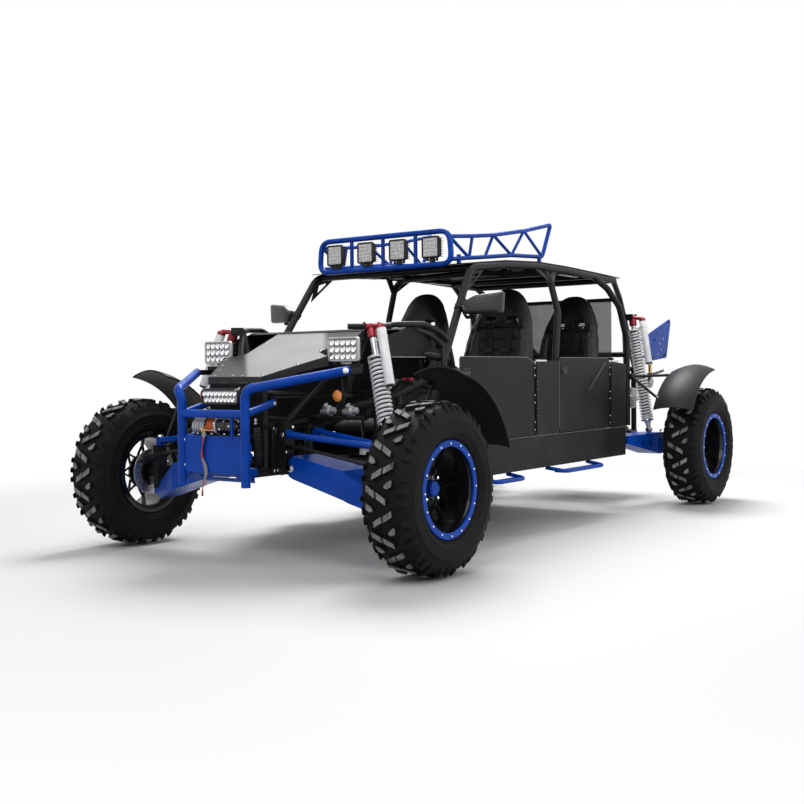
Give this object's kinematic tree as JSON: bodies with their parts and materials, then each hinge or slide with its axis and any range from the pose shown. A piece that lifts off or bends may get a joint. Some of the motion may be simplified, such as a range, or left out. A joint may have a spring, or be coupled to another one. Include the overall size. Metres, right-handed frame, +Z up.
{
  "type": "dune buggy",
  "caption": "Tube-framed four-seat dune buggy with long-travel arms, lugged tyres on beadlock wheels, a front guard with winch, half doors and a lamp rack on the roof.",
  "frame": {"origin": "on the ground, in the middle of the overall box", "axes": "+Z up, the front points to -Y, the vehicle's left side is +X"},
  "size_m": [2.1, 3.94, 1.7708],
  "materials": {
    "black_paint": "satin black",
    "black_sheet": "textured black",
    "grey_sheet": "gloss grey",
    "blue_paint": "gloss blue",
    "tyre": "matt",
    "rim_black": "gloss black",
    "spring_white": "satin white",
    "silver": "satin",
    "red_anodised": "satin red",
    "cast_silver": "cast",
    "seat_cover": "satin",
    "lamp": "black housing with clear lens",
    "amber": "clear amber",
    "webbing": "woven",
    "grip": "matt"
  },
  "bodies": {
    "chassis": {"chassis_frame": "black_paint", "coil_springs": "spring_white", "damper_heads": "red_anodised", "dampers": "silver", "dash_cowl": "black_sheet", "engine_block": "cast_silver", "floor_pan": "black_sheet", "front_arms": "blue_paint", "front_bumper": "blue_paint", "front_frame": "black_paint", "front_lamps": "lamp", "hood": "grey_sheet", "marker_lamps": "amber", "mirrors": "lamp", "nose_panel": "black_sheet", "rear_arms": "blue_paint", "rear_fenders": "black_sheet", "rear_fins": "blue_paint", "rear_uprights": "black_paint", "roll_cage": "black_paint", "roof_lamps": "lamp", "roof_panel": "black_sheet", "roof_rack": "blue_paint", "seats": "seat_cover", "side_panels": "black_sheet", "side_steps": "blue_paint", "steering_column": "black_paint", "winch": "silver", "winch_strap": "webbing"},
    "knuckle_left": {"knuckle_left": "black_paint"},
    "knuckle_right": {"knuckle_right": "black_paint"},
    "wheel_front_left": {"tyre_fl": "tyre", "rim_fl": "rim_black"},
    "wheel_front_right": {"tyre_fr": "tyre", "rim_fr": "rim_black"},
    "wheel_rear_left": {"tyre_rl": "tyre", "rim_rl": "rim_black"},
    "wheel_rear_right": {"tyre_rr": "tyre", "rim_rr": "rim_black"},
    "door_front_left": {"door_front_left": "black_sheet"},
    "door_front_right": {"door_front_right": "black_sheet"},
    "door_rear_left": {"door_rear_left": "black_sheet"},
    "door_rear_right": {"door_rear_right": "black_sheet"},
    "steering_wheel": {"steering_wheel": "grip"},
    "steering_rack": {"steering_rack": "black_paint"}
  },
  "joints": [
    {"name": "steer_left", "type": "hinge", "parent": "chassis", "child": "knuckle_left", "pos_m": [0.76, -1.58, 0.381], "axis": [0, 0, 1], "range_deg": [-30, 30]},
    {"name": "steer_right", "type": "hinge", "parent": "chassis", "child": "knuckle_right", "pos_m": [-0.76, -1.58, 0.381], "axis": [0, 0, 1], "range_deg": [-30, 30]},
    {"name": "rack_slide", "type": "slide", "parent": "chassis", "child": "steering_rack", "axis": [1, 0, 0], "range_m": [-0.06, 0.06]},
    {"name": "steering_wheel_turn", "type": "hinge", "parent": "chassis", "child": "steering_wheel", "pos_m": [0.29, -0.7, 0.95], "axis": [0, 0.89, 0.456], "range_deg": [-245, 245]},
    {"name": "wheel_front_left_spin", "type": "hinge", "parent": "knuckle_left", "child": "wheel_front_left", "pos_m": [0.925, -1.58, 0.381], "axis": [1, 0, 0], "continuous": true},
    {"name": "wheel_front_right_spin", "type": "hinge", "parent": "knuckle_right", "child": "wheel_front_right", "pos_m": [-0.925, -1.58, 0.381], "axis": [1, 0, 0], "continuous": true},
    {"name": "wheel_rear_left_spin", "type": "hinge", "parent": "chassis", "child": "wheel_rear_left", "pos_m": [0.925, 1.58, 0.381], "axis": [1, 0, 0], "continuous": true},
    {"name": "wheel_rear_right_spin", "type": "hinge", "parent": "chassis", "child": "wheel_rear_right", "pos_m": [-0.925, 1.58, 0.381], "axis": [1, 0, 0], "continuous": true},
    {"name": "door_front_left_hinge", "type": "hinge", "parent": "chassis", "child": "door_front_left", "pos_m": [0.645, -0.115, 0.74], "axis": [0, 0, 1], "range_deg": [0, 70]},
    {"name": "door_front_right_hinge", "type": "hinge", "parent": "chassis", "child": "door_front_right", "pos_m": [-0.645, -0.115, 0.74], "axis": [0, 0, -1], "range_deg": [0, 70]},
    {"name": "door_rear_left_hinge", "type": "hinge", "parent": "chassis", "child": "door_rear_left", "pos_m": [0.645, 0.845, 0.74], "axis": [0, 0, 1], "range_deg": [0, 70]},
    {"name": "door_rear_right_hinge", "type": "hinge", "parent": "chassis", "child": "door_rear_right", "pos_m": [-0.645, 0.845, 0.74], "axis": [0, 0, -1], "range_deg": [0, 70]}
  ],
  "couplings": [
    {"joint": "steer_right", "follows": "steer_left", "ratio": 1},
    {"joint": "rack_slide", "follows": "steer_left", "m_per_rad": 0.105},
    {"joint": "steering_wheel_turn", "follows": "steer_left", "ratio": 8}
  ]
}
